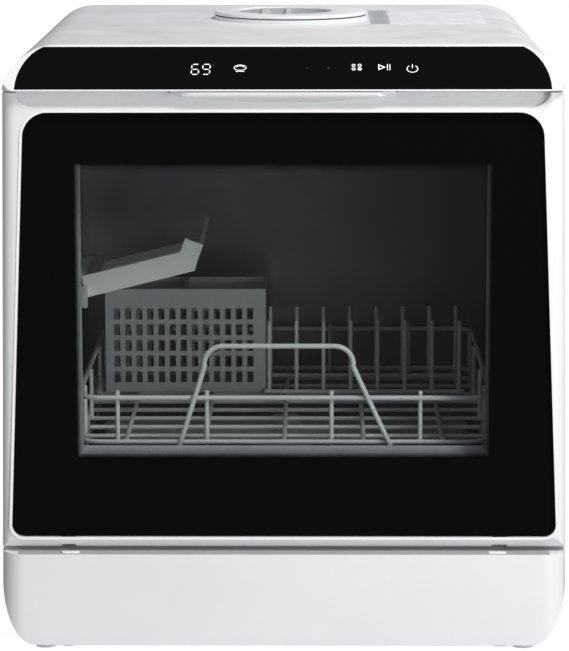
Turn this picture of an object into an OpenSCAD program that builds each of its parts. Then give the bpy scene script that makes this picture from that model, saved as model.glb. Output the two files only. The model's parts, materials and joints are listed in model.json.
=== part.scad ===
// Countertop dishwasher: a free-standing machine with a drop-down glazed door,
// a pull-out dish rack, a water tank filled by hand through the top, and
// capacitive keys on a sloping control panel.
// Millimetres. X runs to the right, Y to the back, Z up. The origin is at the
// bottom centre, on the table that the feet stand on.

/* [Casing] */
// Width of the casing where it is widest, near the base
body_w = 420; // [400:1:470]
// Depth from the control edge to the back
body_d = 430; // [424:1:480]
// Height of the top panel above the table
body_h = 454; // [446:1:500]
// Height of the rubber feet
foot_h = 10; // [5:1:16]
// Radius of a foot
foot_r = 8; // [6:0.5:11]
// Distance of a foot's centre from the casing's widest side
foot_inset = 30; // [29:1:90]
// Lean of each side wall towards the top, in degrees
side_lean = 1; // [0:0.1:2]
// Radius of the long top corners
corner_top_r = 37; // [20:1:45]
// Radius of the upright front corners of the kick panel
kick_corner_r = 18; // [10:1:24]
// Radius of the upright front corners of the fascia
fascia_corner_r = 12; // [8:1:16]
// Width of the curve under each long bottom corner
corner_base_w = 26; // [12:1:30]
// Height of the curve under each long bottom corner
corner_base_h = 50; // [20:1:50]
// Thickness of the moulded plastic walls
skin = 2.4; // [1.6:0.1:3]
// Thickness of the steel outer wrap
sheet = 1.2; // [0.8:0.1:2]
// Height of the base tray's rim above the table
tray_top = 50; // [50:1:56]
// Height of the kick panel's top edge above the table
kick_top = 79.5; // [76:0.5:81]
// Setback of the kick panel behind the control edge
kick_setback = 2; // [0:0.5:4]
// Clearance between fixed pieces that meet edge to edge
seam = 0.3; // [0.2:0.1:0.6]

/* [Control panel] */
// Height of the sloping fascia
fascia_h = 30.4; // [26:0.2:34]
// Depth of the sloping fascia
fascia_run = 35.3; // [28:0.1:40]
// Distance of the black panel's lower corners from the casing's widest side
panel_side_gap = 16.5; // [16:0.5:60]
// Radius of the black panel's upper corners
panel_corner_r = 30; // [20:1:34]
// Height left between the black panel and the top panel
panel_top_gap = 1.5; // [1.5:0.1:5]
// Thickness of the black panel
panel_t = 1.6; // [1:0.1:2]
// Length of the control board
board_w = 250; // [180:1:320]

/* [Door] */
// Setback of the door's face behind the control edge
door_setback = 8; // [6:0.5:10]
// Thickness of the door
door_t = 35; // [33:0.5:38]
// Height of the hinge line above the table
pivot_z = 93; // [92.6:0.1:96]
// Depth of the hinge line behind the door's face
pivot_in = 11; // [10.5:0.5:12]
// Clearance between the door and the fascia above it
door_gap = 2; // [1.8:0.1:3]
// Radius of the door's upright front corners
door_corner_r = 10; // [6:0.5:12]
// Height of the finger groove that is cut back along the door's top edge
groove_h = 12.5; // [8:0.5:13]
// Depth of the finger groove at the door's top edge
groove_d = 9.6; // [5:0.2:12]
// Length of each curved end of the finger groove
groove_end = 25; // [10:1:40]
// Radius of the inner bottom corner of the door
door_heel_r = 8; // [7:0.5:9]
// Width of the finger lip
lip_w = 168; // [100:1:220]
// Height of the finger lip at its middle
lip_h = 7; // [4:0.5:10]
// Distance the finger lip stands out in front of the door's face
lip_out = 7.3; // [0:0.1:7.5]

/* [Glass] */
// Thickness of each pane
glass_t = 4; // [3:0.5:4.5]
// Distance of the outer pane's side from the casing's widest side
glass_side_gap = 8.8; // [8:0.2:30]
// Height at which that distance is taken
glass_ref_z = 120; // [110:1:150]
// Lean of the pane's sides, in degrees
glass_lean = 2.45; // [1:0.05:3]
// Height of the pane's lower edge above the table
glass_low = 91; // [91:0.5:96]
// Distance from the pane's upper edge to the door's top edge
glass_top_gap = 13.6; // [12.6:0.1:26.6]
// Radius of the pane's upper corners
glass_top_r = 19; // [8:1:30]
// Radius of the pane's lower corners
glass_base_r = 9.5; // [5:0.5:20]
// Distance of the clear window from the casing's widest side
window_side_gap = 58; // [54:1:90]
// Height of the window's lower edge above the table
window_low = 152; // [150:1:180]
// Height of the pane's border above the clear window
window_top_gap = 38; // [36:1:88]

/* [Wash chamber] */
// Space between the tub and each side wall
side_space = 40; // [38:1:44]
// Space between the tub and the back of the casing
back_space = 63; // [61:1:80]
// Height of the tub's floor above the table
tub_floor = 118; // [116:0.5:119]
// Space between the tub's ceiling and the top panel
roof_space = 56; // [54:1:66]
// Thickness of the tub
tub_t = 2.2; // [1.5:0.1:3]
// Width of the door seal
seal_w = 12; // [8:0.5:13]
// Length of the spray arm
arm_len = 292; // [200:2:294]
// Radius of the spray arm's bearing
arm_bearing_r = 7.5; // [6:0.5:9]
// Running clearance of shafts in their bores
run_gap = 0.06; // [0.03:0.01:0.1]
// Radius of the sump's bowl
sump_r = 44; // [38:1:46]
// Radius of the round filter cup
filter_r = 29; // [22:1:32]

/* [Rack] */
// Clearance between the rack and the tub's side walls
rack_side_gap = 12; // [11:0.5:14]
// Height of the rack's lower rail above the tub's floor
rack_rail_z = 33.6; // [32:0.1:36]
// Height between the lower and the upper rail
rack_depth = 34; // [25:1:50]
// Radius of the rack's coated wires
wire_r = 1.9; // [1.5:0.1:2.2]
// Radius of the rack's corners in plan
rack_corner_r = 18; // [10:1:30]
// Rise of the carrying handle above the lower rail
handle_rise = 74.4; // [50:0.2:90]
// Height of the plate tines
tine_h = 58; // [40:1:70]
// Distance between plate tines
tine_pitch = 22; // [16:1:30]
// Width of the cutlery basket
basket_w = 130; // [70:1:130]
// Depth of the cutlery basket
basket_d = 60; // [45:1:70]
// Height of the cutlery basket
basket_h = 85; // [60:1:86]
// Length of the folding cup shelf from its hinge
shelf_len = 88; // [70:1:100]
// Depth of the cup shelf
shelf_d = 140; // [100:1:150]
// Distance of the cup shelf's hinge from the tub's wall
shelf_wall_gap = 15; // [14.5:0.5:30]
// Slope of the cup shelf when it is down, in degrees
shelf_tilt = 14; // [5:1:18]

/* [Filler and vent] */
// Radius of the filler collar
collar_r = 62; // [55:1:66]
// Radius of the filler neck's bore
neck_r = 48; // [40:1:50]
// Distance of the filler behind the centre
filler_y = 70; // [66:1:84]
// Distance of the filler to the right of the machine's middle
filler_x = 3.5; // [-4:0.5:4]
// Radius of the finger recess in the cap
recess_r = 38; // [30:1:38]
// Offset of the finger recess from the cap's centre
recess_x = -5; // [-6:0.5:4]
// Length of the vent grille
vent_len = 141; // [80:1:146]
// Width of the vent grille
vent_w = 13.5; // [8:0.5:18]
// Distance of the vent grille's centre from the centre plane
vent_x = 74.5; // [74:0.5:84]

/* [Connections] */
// Outside radius of the threaded inlet connector
inlet_r = 13.1; // [12:0.1:14]
// Outside radius of the drain spigot
drain_r = 9.5; // [7:0.5:11]
// Bore radius of the cord gland
gland_r = 4; // [3:0.5:5]

/* [Hidden] */

$fn = 64;
eps = 0.01;
corner_steps = 8;

// Planes of the casing
front_y = -body_d / 2;
back_y = body_d / 2;
half_w = body_w / 2;
lean_z = foot_h + corner_base_h;
fascia_z = body_h - fascia_h;
slope = atan(fascia_h / fascia_run);

// Planes of the door
face_y = front_y + door_setback;
inner_y = face_y + door_t;
pivot_y = face_y + pivot_in;
door_top = fascia_z - door_gap;
door_base = pivot_z - pivot_in;
glass_half = half_w - glass_side_gap;
glass_high = door_top - glass_top_gap;
window_half = half_w - window_side_gap;
window_high = glass_high - window_top_gap;
panel_half = half_w - panel_side_gap;
foot_x = half_w - foot_inset;

// The body's front frame stands just behind the closed door
seal_t = 1.8;
seal_gap = 0.3;
frame_y = inner_y + seal_gap + seal_t;
frame_t = 2.2;
kick_y = front_y + kick_setback;

// Inside faces of the tub
tub_half = half_w - side_space - tub_t;
tub_front = frame_y + frame_t + seam;
tub_back = back_y - back_space - tub_t;
tub_roof = body_h - roof_space;
mid_y = (tub_front + tub_back) / 2;

// Standard hardware
pin_r = 2.5;
fit_gap = 0.05;
boss_r = 6;
bracket_t = 9.5;
hinge_inset = 50;
hinge_x = half_w - hinge_inset;
slot_gap = 0.65;

// Half width of the leaning side wall at a height
function side_x(z, half, z_ref, lean) = half - (z - z_ref) * tan(lean);

// Right half of an outline whose sides lean: elliptical feet, round shoulders
function half_outline(half, z_ref, lean, z_lo, z_hi, foot_w, foot_t, top_r, inset) =
    let (
        reach = half * cos(lean) + z_ref * sin(lean) - inset,
        foot_z = z_lo + foot_t,
        foot_c = (reach - foot_z * sin(lean)) / cos(lean) - (foot_w - inset),
        top_z = z_hi - top_r,
        top_c = (reach - (top_r - inset) - top_z * sin(lean)) / cos(lean)
    )
    concat(
        [for (i = [0 : corner_steps])
            let (a = -90 + 90 * i / corner_steps)
            [foot_c + (foot_w - inset) * cos(a), foot_z + (foot_t - inset) * sin(a)]],
        [for (i = [0 : corner_steps])
            let (a = lean + (90 - lean) * i / corner_steps)
            [top_c + (top_r - inset) * cos(a), top_z + (top_r - inset) * sin(a)]]
    );

function mirrored(pts) = [for (i = [len(pts) - 1 : -1 : 0]) [-pts[i][0], pts[i][1]]];

function whole(pts) = concat(pts, mirrored(pts));

function casing_pts(inset) = whole(half_outline(half_w, lean_z, side_lean, foot_h, body_h,
    corner_base_w, corner_base_h, corner_top_r, inset));

function pane_pts(inset) = whole(half_outline(glass_half, glass_ref_z, glass_lean, glass_low,
    glass_high, glass_base_r, glass_base_r, glass_top_r, inset));

function arc(cx, cy, r, a0, a1, n) =
    [for (i = [0 : n]) [cx + r * cos(a0 + (a1 - a0) * i / n), cy + r * sin(a0 + (a1 - a0) * i / n)]];

// A box given by its low and high corners
module block(lo, hi) {
    translate(lo) cube([hi[0] - lo[0], hi[1] - lo[1], hi[2] - lo[2]]);
}

// A box centred on x, from y0 to y1 and z0 to z1
module bar(x, w, y0, y1, z0, z1) {
    block([x - w / 2, y0, z0], [x + w / 2, y1, z1]);
}

// An XZ outline carried along Y
module along_y(pts, y0, y1) {
    translate([0, y1, 0]) rotate([90, 0, 0]) linear_extrude(y1 - y0) polygon(pts);
}

// A YZ outline carried along X
module along_x(pts, x0, x1) {
    translate([x0, 0, 0]) rotate([90, 0, 90]) linear_extrude(x1 - x0) polygon(pts);
}

module rod_x(x0, x1, y, z, r) {
    translate([x0, y, z]) rotate([0, 90, 0]) cylinder(r = r, h = x1 - x0);
}

module rod_y(y0, y1, x, z, r) {
    translate([x, y1, z]) rotate([90, 0, 0]) cylinder(r = r, h = y1 - y0);
}

module rod_z(z0, z1, x, y, r) {
    translate([x, y, z0]) cylinder(r = r, h = z1 - z0);
}

module both_sides() {
    children();
    mirror([1, 0, 0]) children();
}

// How far a rounding cut runs past the wall it blends into, so that no sliver is left
cut_past = 0.02;

// What is cut away to round an upright front corner, leaning as the side leans
module corner_cut(y, r, inset) {
    translate([half_w - inset / cos(side_lean) + cut_past, y, lean_z]) rotate([0, -side_lean, 0])
        translate([0, 0, -body_h]) linear_extrude(2 * body_h)
            polygon(concat(
                arc(-r, r, r, -90, 0, corner_steps),
                [[2, r], [2, -2], [-r, -2]]
            ));
}

// A solid stretch of the casing between two heights, with round front corners
module casing_block(y0, y1, z0, z1, r, inset) {
    difference() {
        intersection() {
            along_y(casing_pts(inset), y0, y1);
            block([-body_w, y0 - 1, z0], [body_w, y1 + 1, z1]);
        }
        both_sides() corner_cut(y0, r, inset);
    }
}

// Things laid on the sloping fascia: X across, Y up the slope, Z out of it
module on_slope() {
    translate([0, front_y, fascia_z]) rotate([slope, 0, 0]) children();
}

// ---------------------------------------------------------------- casing

foot_front_y = kick_y + 35;
foot_back_y = back_y - 24;
stem_r = 4;
stem_h = 5;
pad_pitch = 17;
pad_back = 4.5;
pad_web = 3;

module at_feet() {
    for (x = [-foot_x, foot_x], y = [foot_front_y, foot_back_y]) translate([x, y, 0]) children();
}

tray_inset = skin + seam;
tray_floor = foot_h + skin;
tray_front_floor = foot_h + tray_inset + skin;
lip_rise = 8;

module base_tray() {
    color("gainsboro") difference() {
        union() {
            casing_block(kick_y + tray_inset, frame_y + skin, 0, tray_top, kick_corner_r - skin, tray_inset);
            casing_block(frame_y, back_y, 0, tray_top, 1, 0);
            casing_block(frame_y + skin, back_y - skin - seam, tray_top - skin, tray_top + lip_rise,
                1, sheet + seam);
        }
        casing_block(kick_y + tray_inset + skin, frame_y + 2 * skin, 0, body_h,
            kick_corner_r - 2 * skin, tray_inset + skin);
        casing_block(frame_y + 2 * skin - eps, back_y - skin, 0, body_h, 1, skin + seam);
        at_feet() rod_z(0, tray_top, 0, 0, stem_r + fit_gap);
    }
}

// Places on the outer wrap
hopper_half = 52;

module outer_wrap() {
    color("white") difference() {
        intersection() {
            along_y(casing_pts(0), frame_y, back_y);
            block([-body_w, front_y, tray_top + seam], [body_w, back_y + 1, body_h + 1]);
        }
        along_y(casing_pts(sheet), frame_y - 1, back_y + 1);
        rod_z(fascia_z, body_h + 1, filler_x, filler_y, neck_r + skin + seam);
        bar(vent_x, vent_w + 2 * seam, vent_y0 - seam, vent_y1 + seam, fascia_z, body_h + 1);
    }
}

back_inset = sheet + seam;
back_t = 1.5;
back_rim = 2;
back_face = back_y - back_rim;
well_w = 90;
well_x = -half_w + well_w / 2 + 35;
well_z0 = 62;
well_z1 = 108;
well_depth = 26;
gland_inset = 60;
gland_x = half_w - gland_inset;
gland_z = 84;
gland_body_r = gland_r + 5;
screw_r = 2;
screw_head_r = 3.5;
screw_inset = 25;
screw_mid_x = 60;
screw_xs = [-half_w + screw_inset, -screw_mid_x, screw_mid_x, half_w - screw_inset];
screw_zs = [tray_top + 22, body_h - 34];

module at_screws() {
    for (x = screw_xs, z = screw_zs) translate([x, 0, z]) children();
}

slot_rows = 8;
slot_pitch = 7;
slot_w = 2 * screw_mid_x;
slot_h = 3;

module back_panel() {
    color("gainsboro") difference() {
        intersection() {
            along_y(casing_pts(back_inset), back_face - back_t, back_face);
            block([-body_w, 0, tray_top + lip_rise + seam], [body_w, body_d, body_h]);
        }
        block([well_x - well_w / 2 - seam, back_face - 3, well_z0 - seam],
            [well_x + well_w / 2 + seam, back_y, well_z1 + seam]);
        rod_y(back_face - 5, back_y, gland_x, gland_z, gland_body_r + fit_gap);
        at_screws() rod_y(back_face - 5, back_y, 0, 0, screw_r + fit_gap);
        for (i = [0 : slot_rows - 1]) translate([0, 0, tub_roof - 68 + i * slot_pitch])
            bar(0, slot_w, back_face - 5, back_y, 0, slot_h);
    }
}

module casing_screws() {
    color("silver") at_screws() union() {
        rod_y(back_face, back_face + 1.6, 0, 0, screw_head_r);
        rod_y(back_face - 8, back_face + eps, 0, 0, screw_r);
    }
}

module rubber_feet() {
    color("lightgray") both_sides() for (y = [foot_front_y, foot_back_y]) translate([foot_x, y, 0]) union() {
        rod_z(0, foot_h, 0, 0, foot_r);
        rod_z(0, foot_h, -pad_pitch, pad_back, foot_r);
        block([-pad_pitch, -2, foot_h - pad_web], [0, foot_r - 2, foot_h]);
        rod_z(foot_h - eps, foot_h + stem_h + skin, 0, 0, stem_r);
    }
}

module kick_panel() {
    color("white") difference() {
        casing_block(kick_y, frame_y - seam, 0, kick_top, kick_corner_r, 0);
        casing_block(kick_y + skin, frame_y, 0, kick_top - skin, kick_corner_r - skin, skin);
        at_feet() rod_z(0, tray_top, 0, 0, stem_r + fit_gap);
        both_sides() bar(hinge_x, bracket_t + 2 * slot_gap, pivot_y + 9, frame_y - 3,
            kick_top - skin - 1, kick_top + 1);
    }
}

// ---------------------------------------------------------------- controls

// The fascia's side outline, its slope moved inwards by depth
function fascia_profile(depth, z0, back) = [
    [front_y + (depth / cos(slope) + z0 - fascia_z) / tan(slope), z0],
    [front_y + (depth / cos(slope) + body_h - fascia_z) / tan(slope), body_h],
    [back, body_h], [back, z0],
];

// Outline of the black panel seen from the front
function panel_pts(inset) = let (
        rise = fascia_h - panel_top_gap - sill - inset,
        arc_r = panel_corner_r - inset,
        top_a = asin(min(rise / arc_r, 1)),
        right = concat([[panel_half - inset, fascia_z + inset]],
            arc(panel_half - panel_corner_r, fascia_z, arc_r, 0, top_a, corner_steps))
    ) whole(right);

module slope_slab(d0, d1) {
    along_x([
        [front_y + d0 / sin(slope) - 20 / tan(slope), fascia_z - 20],
        [front_y + d0 / sin(slope) + 60 / tan(slope), fascia_z + 60],
        [front_y + d1 / sin(slope) + 60 / tan(slope), fascia_z + 60],
        [front_y + d1 / sin(slope) - 20 / tan(slope), fascia_z - 20],
    ], -body_w, body_w);
}

sill = 1.2;
window_x0 = -80;
window_x1 = 108;

module control_fascia() {
    color("white") difference() {
        intersection() {
            casing_block(front_y, frame_y - seam, fascia_z, body_h + 1, fascia_corner_r, 0);
            along_x(fascia_profile(0, fascia_z, frame_y), -body_w, body_w);
        }
        intersection() {
            casing_block(front_y + skin, frame_y + 1, fascia_z + skin, body_h, fascia_corner_r - skin, skin);
            along_x(fascia_profile(skin + panel_t, fascia_z + skin, frame_y + 2), -body_w, body_w);
        }
        intersection() {
            slope_slab(-5, panel_t + 0.1);
            translate([0, 0, sill]) along_y(panel_pts(-0.15), front_y - 5, 0);
        }
        on_slope() block([window_x0, board_low - 4, -board_depth], [window_x1, board_high - 4, skin + seam]);
    }
}

module control_panel() {
    color("black") intersection() {
        slope_slab(0, panel_t);
        translate([0, 0, sill]) along_y(panel_pts(0), front_y - 5, 0);
    }
}

board_depth = 9;
board_t = 1.6;
board_low = 16;
board_high = 38;
key_y = 24;
key_xs = [-32, 52, 72, 92];
key_r = 3.5;
post_r = 3;

module control_board() {
    color("seagreen") on_slope() union() {
        block([-board_w / 2, board_low, -board_depth], [board_w / 2, board_high, -board_depth + board_t]);
        for (x = [-board_w / 2 + 8, board_w / 2 - 8])
            rod_z(-board_depth, -skin - panel_t - 0.1, x, 27, post_r);
        block([window_x0 + 4, key_y - 7, -board_depth], [key_xs[0] - key_r - 2, key_y + 7, -panel_t - 0.4]);
        for (x = key_xs) rod_z(-board_depth, -panel_t - 0.4, x, key_y, key_r);
    }
}

// ---------------------------------------------------------------- chamber

module front_frame() {
    color("gray") difference() {
        casing_block(frame_y, frame_y + frame_t, kick_top + seam, fascia_z - 1, 1, sheet + seam);
        block([-tub_half, frame_y - 1, tub_floor], [tub_half, frame_y + 5, tub_roof]);
        bar(0, 12, frame_y - 1, frame_y + 5, tub_roof + seal_w + 3, fascia_z);
        both_sides() bar(hinge_x, bracket_t + 2 * slot_gap, frame_y - 1, frame_y + 5,
            kick_top - 1, kick_top + 2);
    }
}

tub_lip = 8;
ledge_w = 16;
ledge_t = 4;
ledge_z = tub_floor + 18;
sump_x = 84;
sump_y = -84;

module tub() {
    color("dimgray") union() {
        difference() {
            union() {
                block([-tub_half - tub_t, tub_front, tub_floor - tub_t],
                    [tub_half + tub_t, tub_back + tub_t, tub_roof + tub_t]);
                block([-tub_half - tub_lip, tub_front, tub_floor - tub_lip],
                    [tub_half + tub_lip, tub_front + tub_t, tub_roof + tub_lip]);
            }
            block([-tub_half, tub_front - 1, tub_floor], [tub_half, tub_back, tub_roof]);
            rod_z(tub_floor - 10, tub_floor + 5, sump_x, sump_y, sump_r - 4);
            rod_z(tub_floor - 10, tub_floor + 5, 0, mid_y, arm_bearing_r + 0.3);
        }
        both_sides() block([tub_half - ledge_w, tub_front + 10, ledge_z],
            [tub_half + eps, tub_back - 2, ledge_z + ledge_t]);
    }
}

module rounded_ring(half, z0, z1, w, y0, y1, r) {
    along_y(whole(half_outline(half + w, z0, 0, z0 - w, z1 + w, r, r, r, 0)), y0, y1);
}

module door_seal() {
    color("darkgray") difference() {
        rounded_ring(tub_half, tub_floor, tub_roof, seal_w + 2, frame_y - seal_t, frame_y, 14);
        rounded_ring(tub_half, tub_floor, tub_roof, 2, frame_y - 5, frame_y + 5, 5);
    }
}

// Spring clip that the door's tongue slides between
tongue_t = 3;
tongue_z0 = tub_roof + seal_w + 4;
tongue_z1 = tongue_z0 + 5;
tongue_reach = 16;
clip_t = 1.2;
clip_y = frame_y + 25;
roof_top = tub_roof + tub_t + seam;

module catch_clip() {
    color("silver") union() {
        both_sides() block([tongue_t / 2 + seam, frame_y + frame_t + 2, tongue_z0 - 2],
            [tongue_t / 2 + seam + clip_t, clip_y, tongue_z1 + 2]);
        bar(0, 20, clip_y - eps, clip_y + clip_t, roof_top, tongue_z1 + 2);
        bar(0, 20, clip_y, clip_y + 16, roof_top, roof_top + clip_t);
    }
}

module door_sensor() {
    color("black") block([9, frame_y + 8, roof_top], [22, frame_y + 22, tongue_z1]);
}

// ---------------------------------------------------------------- hinge

leg_in = 10;
leg_t = 10;

module bracket_profile() {
    leg0 = pivot_y + leg_in;
    union() {
        rod_x(-bracket_t / 2, bracket_t / 2, pivot_y, pivot_z, boss_r);
        bar(0, bracket_t, pivot_y, leg0 + leg_t, pivot_z - boss_r, pivot_z + 4);
        bar(0, bracket_t, leg0, leg0 + leg_t, tray_front_floor + seam, pivot_z);
        bar(0, bracket_t * 2, leg0 - 14, leg0 + leg_t + 2, tray_front_floor + seam,
            tray_front_floor + 5);
    }
}

module hinge_brackets() {
    color("darkgray") both_sides() difference() {
        translate([hinge_x, 0, 0]) bracket_profile();
        rod_x(hinge_x - 20, hinge_x + 20, pivot_y, pivot_z, pin_r + fit_gap);
    }
}

pin_in = 14;
pin_out = 28;
block_t = 10;

module hinge_pins() {
    color("silver") both_sides() rod_x(hinge_x - pin_in, hinge_x + pin_out, pivot_y, pivot_z, pin_r);
}

module hinge_dampers() {
    x0 = hinge_x + bracket_t / 2 + slot_gap + block_t + seam;
    color("black") both_sides() difference() {
        rod_x(x0, hinge_x + pin_out + 2, pivot_y, pivot_z, pivot_y - cavity_y - seam);
        rod_x(x0 - 1, hinge_x + pin_out + seam, pivot_y, pivot_z, pin_r + run_gap);
    }
}

// ---------------------------------------------------------------- door

// Side outline of the door, moved inwards by inset
function door_profile(inset) = concat(
    arc(pivot_y, pivot_z, pivot_in - inset, 180, 270, corner_steps),
    arc(inner_y - door_heel_r, pivot_z - 3, door_heel_r - inset, 270, 360, corner_steps),
    [[inner_y - inset, door_top - inset], [face_y + inset, door_top - inset]]
);

// Front outline of the finger groove: flat along its foot, curved up at its ends
function groove_pts() = let (z0 = door_top - groove_h, w = groove_half - groove_end) whole(concat(
    [for (i = [0 : corner_steps]) let (a = -90 + 90 * i / corner_steps)
        [w + groove_end * cos(a), z0 + groove_h + groove_h * sin(a)]],
    [[groove_half, door_top + 5]]
));

groove_half = panel_half;
groove_slope = groove_d / groove_h;
groove_wall = skin * sqrt(1 + groove_slope * groove_slope);

// The inside of the groove's wall, as Y at a height and as a height at a Y
function groove_wall_y(z) = face_y + groove_wall + (z - door_top + groove_h) * groove_slope;
function groove_wall_z(y) = door_top - groove_h + (y - face_y - groove_wall) / groove_slope;

groove_profile = [
    [face_y - 5, door_top - groove_h], [face_y, door_top - groove_h],
    [face_y + groove_d, door_top], [face_y + groove_d, door_top + 5], [face_y - 5, door_top + 5],
];

tunnel_gap = 5;
tunnel_half = window_half + tunnel_gap;
tunnel_low = window_low - tunnel_gap;
tunnel_high = window_high + tunnel_gap;
rebate_y = face_y + glass_t + 0.1;
cavity_y = rebate_y + skin;
panel_back_t = 3;
cup_x = 40;
cup_z0 = pivot_z + 8;
cup_z1 = tunnel_low - skin - 4;

module hinge_blocks() {
    both_sides() difference() {
        intersection() {
            bar(hinge_x, bracket_t + 2 * slot_gap + 2 * block_t, face_y + 1, inner_y - panel_back_t - seam,
                door_base, pivot_z + 12);
            along_x(door_profile(1), 0, body_w);
        }
        bar(hinge_x, bracket_t + 2 * slot_gap, face_y, inner_y, 0, pivot_z + boss_r + 0.7);
        rod_x(hinge_x - 40, hinge_x + 40, pivot_y, pivot_z, pin_r + run_gap);
        along_y(pane_pts(-0.2), front_y - 1, rebate_y);
    }
}

module door_body() {
    difference() {
        intersection() {
            casing_block(face_y, inner_y, door_base, door_top, door_corner_r, 0);
            along_x(door_profile(0), -body_w, body_w);
        }
        intersection() {
            along_y(groove_pts(), front_y, inner_y - 5);
            along_x(groove_profile, -body_w, body_w);
        }
    }
}

module door_cavity() {
    difference() {
        intersection() {
            casing_block(cavity_y, inner_y + 1, door_base, door_top - skin, 1, skin);
            along_x(concat(
                arc(pivot_y, pivot_z, pivot_in - skin, 180, 270, corner_steps),
                arc(inner_y - door_heel_r, pivot_z - 3, door_heel_r - skin, 270, 360, corner_steps),
                [[inner_y - skin, pivot_z + 0.2], [inner_y + 1, pivot_z + 0.2],
                    [inner_y + 1, door_top], [groove_wall_y(door_top), door_top],
                    [cavity_y - 3, groove_wall_z(cavity_y - 3)]]
            ), -body_w, body_w);
        }
        block([-tunnel_half - skin, cavity_y - 5, tunnel_low - skin],
            [tunnel_half + skin, inner_y - panel_back_t - seam, tunnel_high + skin]);
    }
}

module door_frame() {
    color("white") union() {
        difference() {
            door_body();
            along_y(pane_pts(-0.2), front_y - 1, rebate_y);
            door_cavity();
            block([-tunnel_half, face_y - 1, tunnel_low], [tunnel_half, inner_y + 1, tunnel_high]);
            both_sides() bar(hinge_x, bracket_t + 2 * slot_gap, pivot_y - 7.5, inner_y + 1,
                0, pivot_z + boss_r + 0.7);
            both_sides() rod_x(hinge_x - 20, hinge_x + 20, pivot_y, pivot_z, pin_r + run_gap);
        }
        hinge_blocks();
    }
}

module door_glass() {
    color([0.02, 0.02, 0.02, 0.8]) along_y(pane_pts(0), face_y, face_y + glass_t);
}

module inner_panel() {
    lap = 7;
    color("darkgray") difference() {
        intersection() {
            casing_block(inner_y - panel_back_t, inner_y, pivot_z + 0.5, door_top - skin - seam, 1,
                skin + seam);
            block([-body_w, front_y, 0], [body_w, 0, body_h]);
        }
        block([-window_half + 2, inner_y - 9, window_low + 2], [window_half - 2, inner_y + 9, window_high - 2]);
        block([-cup_x - seam, inner_y - 9, cup_z0 - seam], [cup_x + seam, inner_y + 9, cup_z1 + seam]);
        bar(0, 2 * lap, inner_y - 9, inner_y + 9, tongue_z0 - 1, tongue_z1 + 1);
        both_sides() bar(hinge_x, bracket_t + 2 * slot_gap, inner_y - 9, inner_y + 9, 0,
            pivot_z + boss_r + 0.7);
    }
}

module inner_glass() {
    color([0.7, 0.75, 0.75, 0.3]) block(
        [-tunnel_half + seam, inner_y - panel_back_t - glass_t, tunnel_low + seam],
        [tunnel_half - seam, inner_y - panel_back_t, tunnel_high - seam]);
}

// Clearance between the finger lip and the fascia above it
lip_gap = 0.6;
lip_end = 20;

// Finger lip that bulges out of the groove, bounded below by a shallow arc
module handle_lip() {
    half = lip_w / 2;
    arc_r = (pow(half, 2) + pow(lip_h, 2)) / (2 * lip_h);
    arc_a = asin(half / arc_r);
    low_z = door_top - lip_h;
    low_y = face_y + (groove_h - lip_h) * groove_slope - 0.1;
    back = face_y + groove_d - 0.1;
    lip_y = face_y - lip_out;
    lip_top = fascia_z - lip_gap;
    round_z = lip_top - 0.5;
    color("white") intersection() {
        along_y(concat(arc(0, low_z + arc_r, arc_r, 270 - arc_a, 270 + arc_a, 24),
            [[half, lip_top], [-half, lip_top]]), front_y, inner_y);
        along_x(concat(
            [for (t = [0 : 6 : 90]) [low_y - (low_y - lip_y) * sin(t), round_z - (round_z - low_z) * cos(t)]],
            [[lip_y + 0.5, lip_top], [face_y + 1.5, lip_top], [face_y + 1.5, door_top], [back, door_top]]
        ), -body_w, body_w);
        linear_extrude(body_h) polygon(whole(
            [for (t = [0 : 6 : 90]) [half - lip_end + lip_end * cos(t), back - (back - lip_y) * sin(t)]]));
    }
}

cup_wall = 1.8;
cup_depth = 20;
lid_t = 1.6;
lid_travel = 36;

module detergent_cup() {
    back = inner_y - panel_back_t - cup_depth;
    color("lightgray") difference() {
        block([-cup_x, back, cup_z0], [cup_x, inner_y - 0.2, cup_z1]);
        block([-cup_x + cup_wall, back + cup_wall, cup_z0 + 4], [-1, inner_y + 1, cup_z1 - 4]);
        block([-cup_x + cup_wall, inner_y - 3, cup_z0 + 2], [cup_x - cup_wall, inner_y - 1, cup_z1 - 2]);
        block([-cup_x + cup_wall, inner_y - 3, cup_z0 + 4], [cup_x - cup_wall, inner_y + 1, cup_z1 - 4]);
    }
}

module detergent_lid() {
    lid_x0 = -cup_x + cup_wall + seam;
    lid_x1 = cup_x - cup_wall - seam - lid_travel;
    color("white") union() {
        block([lid_x0, inner_y - 3 + 0.2, cup_z0 + 2 + seam],
            [lid_x1, inner_y - 3 + 0.2 + lid_t, cup_z1 - 2 - seam]);
        for (i = [0 : 2]) bar(lid_x1 - 6 - 4 * i, 1.6, inner_y - 1.5, inner_y - 0.4, cup_z0 + 7, cup_z1 - 7);
    }
}

module door_tongue() {
    color("lightgray") union() {
        bar(0, 12, inner_y - 14, inner_y, tongue_z0 - 0.5, tongue_z1);
        bar(0, tongue_t, inner_y - eps, inner_y + tongue_reach, tongue_z0, tongue_z1);
    }
}

// ---------------------------------------------------------------- water path

plate_r = 66;

module sump() {
    color("gray") difference() {
        union() {
            rod_z(tub_floor - tub_t - 3, tub_floor - tub_t - seam, sump_x, sump_y, sump_r + 8);
            rod_z(sump_base, tub_floor - tub_t - 1, sump_x, sump_y, sump_r);
        }
        rod_z(sump_base + skin, tub_floor, sump_x, sump_y, sump_r - skin);
    }
}

sump_base = tub_floor - 48;

module filter_plate() {
    cells = 18;
    color("silver") difference() {
        rod_z(tub_floor + seam, tub_floor + 1.5, sump_x, sump_y, plate_r);
        rod_z(tub_floor, tub_floor + 3, sump_x, sump_y, filter_r + 2);
        for (i = [0 : cells - 1]) translate([sump_x, sump_y, 0]) rotate([0, 0, i * 360 / cells])
            block([filter_r + 8, -1.5, tub_floor], [plate_r - 8, 1.5, tub_floor + 3]);
    }
}

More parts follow.
